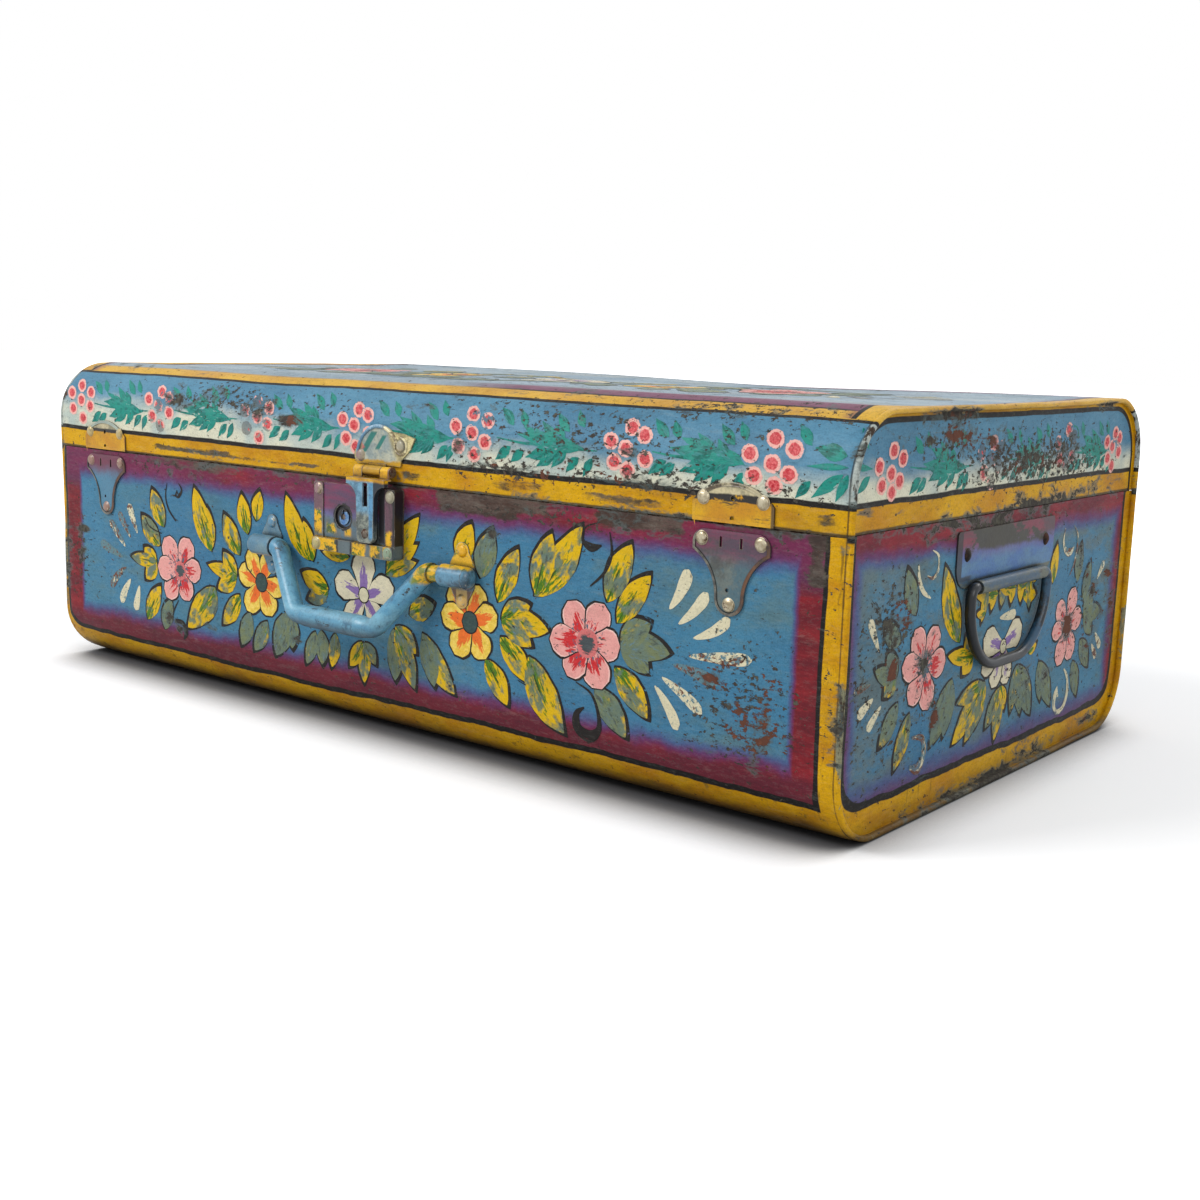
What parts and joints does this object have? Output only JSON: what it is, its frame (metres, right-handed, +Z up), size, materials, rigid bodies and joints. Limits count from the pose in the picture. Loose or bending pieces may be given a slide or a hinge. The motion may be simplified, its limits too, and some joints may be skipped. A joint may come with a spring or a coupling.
{
  "type": "trunk",
  "caption": "Low sheet-metal trunk with rounded long edges, hinged lid, box lock with swing hasp, bail handle, catch plates and ring end handles, hand-painted with folk flowers.",
  "frame": {"origin": "middle of the flat bottom, on the floor", "axes": "+X along the length to the right end as seen from the front, +Y from the front to the hinged back, +Z up"},
  "size_m": [0.7692, 0.4709, 0.25],
  "materials": {
    "trunk_paint": "hand-painted gloss enamel over rust, worn and chipped",
    "lid_paint": "hand-painted gloss enamel, faded pale on top",
    "rim_paint": "thin enamel worn to steel at the edge",
    "hinge_steel": "plain steel with light rust",
    "rivet_steel": "plain steel heads, rubbed bright",
    "end_rivet_steel": "plain steel heads, browned",
    "catch_lower_finish": "thin paint over steel, mostly worn through",
    "catch_upper_finish": "thin enamel over steel, rubbed at the edges",
    "lock_inner_steel": "plain steel, browned",
    "lock_finish": "thin enamel over steel, rubbed at the edges",
    "bolt_brass": "plain brass, dulled",
    "hasp_plate_finish": "thin enamel over steel, rubbed at the edges",
    "hasp_finish": "thin enamel over steel, rubbed at the edges",
    "hasp_steel": "plain steel",
    "bracket_finish": "thin enamel over steel, rubbed bright on the barrel",
    "bail_finish": "enamel over steel, rubbed through on the grip",
    "ring_plate_finish": "enamel over steel, chipped at the edges",
    "ring_steel": "plain steel rod, browned"
  },
  "bodies": {
    "body": {"body_wrap": "trunk_paint", "body_end_left": "trunk_paint", "body_end_right": "trunk_paint", "body_rim": "rim_paint", "hinge_leaf_body_left": "hinge_steel", "hinge_leaf_body_right": "hinge_steel", "hinge_pin_left": "hinge_steel", "hinge_pin_right": "hinge_steel", "hinge_rivets_body": "rivet_steel", "catch_lower_left": "catch_lower_finish", "catch_lower_right": "catch_lower_finish", "catch_lower_rivets": "rivet_steel", "lock_base": "lock_inner_steel", "lock_case": "lock_finish", "lock_rivets": "rivet_steel", "handle_bracket_left": "bracket_finish", "handle_bracket_right": "bracket_finish", "handle_rivets": "rivet_steel", "ring_plate_left": "ring_plate_finish", "ring_plate_right": "ring_plate_finish", "ring_rivets": "end_rivet_steel"},
    "lid": {"lid_wrap": "lid_paint", "lid_end_left": "lid_paint", "lid_end_right": "lid_paint", "hinge_leaf_lid_left": "hinge_steel", "hinge_leaf_lid_right": "hinge_steel", "hinge_rivets_lid": "rivet_steel", "catch_upper_left": "catch_upper_finish", "catch_upper_right": "catch_upper_finish", "catch_upper_rivets": "rivet_steel", "hasp_plate": "hasp_plate_finish", "hasp_rivets": "rivet_steel", "hasp_pin": "hasp_steel"},
    "hasp": {"hasp_strap": "hasp_finish", "hasp_staple": "hasp_steel"},
    "key_plug": {"lock_plug": "lock_finish"},
    "bolt": {"lock_bolt": "bolt_brass"},
    "bail": {"bail_handle": "bail_finish"},
    "ring_left": {"side_ring_left": "ring_steel"},
    "ring_right": {"side_ring_right": "ring_steel"}
  },
  "joints": [
    {"name": "lid_hinge", "type": "hinge", "parent": "body", "child": "lid", "pos_m": [0, 0.2204, 0.18025], "axis": [-1, 0, 0], "range_deg": [0, 110]},
    {"name": "hasp_hinge", "type": "hinge", "parent": "lid", "child": "hasp", "pos_m": [0.011, -0.2201, 0.1885], "axis": [-1, 0, 0], "range_deg": [0, 110]},
    {"name": "key_turn", "type": "hinge", "parent": "body", "child": "key_plug", "pos_m": [-0.0166, -0.216, 0.1545], "axis": [0, -1, 0], "range_deg": [0, 90]},
    {"name": "bolt_slide", "type": "slide", "parent": "body", "child": "bolt", "axis": [1, 0, 0], "range_m": [0, 0.008]},
    {"name": "bail_swing", "type": "hinge", "parent": "body", "child": "bail", "pos_m": [-0.0095, -0.2235, 0.1255], "axis": [-1, 0, 0], "range_deg": [-19, 140]},
    {"name": "ring_swing_left", "type": "hinge", "parent": "body", "child": "ring_left", "pos_m": [-0.38016, -0.005, 0.136], "axis": [0, 1, 0], "range_deg": [0, 165]},
    {"name": "ring_swing_right", "type": "hinge", "parent": "body", "child": "ring_right", "pos_m": [0.38016, -0.005, 0.136], "axis": [0, -1, 0], "range_deg": [0, 165]}
  ],
  "couplings": [
    {"joint": "bolt_slide", "follows": "key_turn", "m_per_rad": 0.00509}
  ]
}
